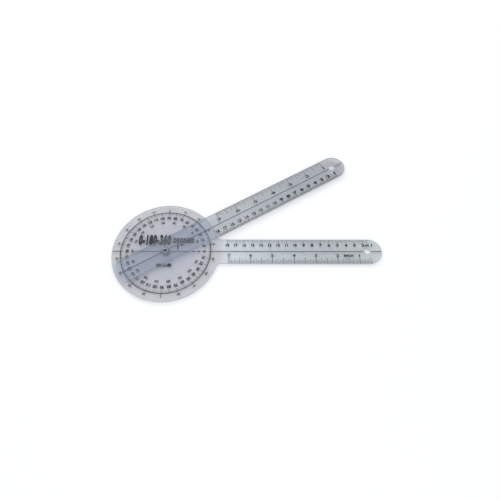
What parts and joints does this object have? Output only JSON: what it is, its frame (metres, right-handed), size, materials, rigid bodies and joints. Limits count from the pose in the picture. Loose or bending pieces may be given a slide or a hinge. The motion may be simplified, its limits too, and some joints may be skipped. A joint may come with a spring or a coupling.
{
  "type": "long arm goniometer",
  "caption": "Clear flat goniometer: a round degree dial with a fixed ruler arm, and a ruler arm that turns on an eyelet at the dial's centre to measure joint angles.",
  "frame": {"origin": "on the pivot's axis, level with the underside of the dial sheet", "axes": "+X along the fixed arm from the pivot to its end, +Z along the pivot's axis out of the printed face, +Y across the fixed arm towards the moving arm"},
  "size_m": [0.3175, 0.2006, 0.0052],
  "materials": {
    "clear_sheet": "clear flexible sheet, faint blue-grey tint, glossy with fine handling scratches",
    "clear_washer": "clear punched plastic",
    "eyelet_metal": "nickel plate, a little dull, rolled rims",
    "black_ink": "screen-printed ink, slightly worn",
    "red_ink": "dark red screen-printed ink, slightly worn"
  },
  "bodies": {
    "fixed_side": {"dial_with_fixed_arm": "clear_sheet", "pivot_eyelet": "eyelet_metal", "top_washer": "clear_washer", "friction_washer": "clear_washer", "bottom_washer": "clear_washer"},
    "moving_side": {"moving_arm": "clear_sheet"}
  },
  "joints": [
    {"name": "arm_pivot", "type": "hinge", "parent": "fixed_side", "child": "moving_side", "pos_m": [0, 0, 0.0026], "axis": [0, 0, 1], "continuous": true}
  ]
}
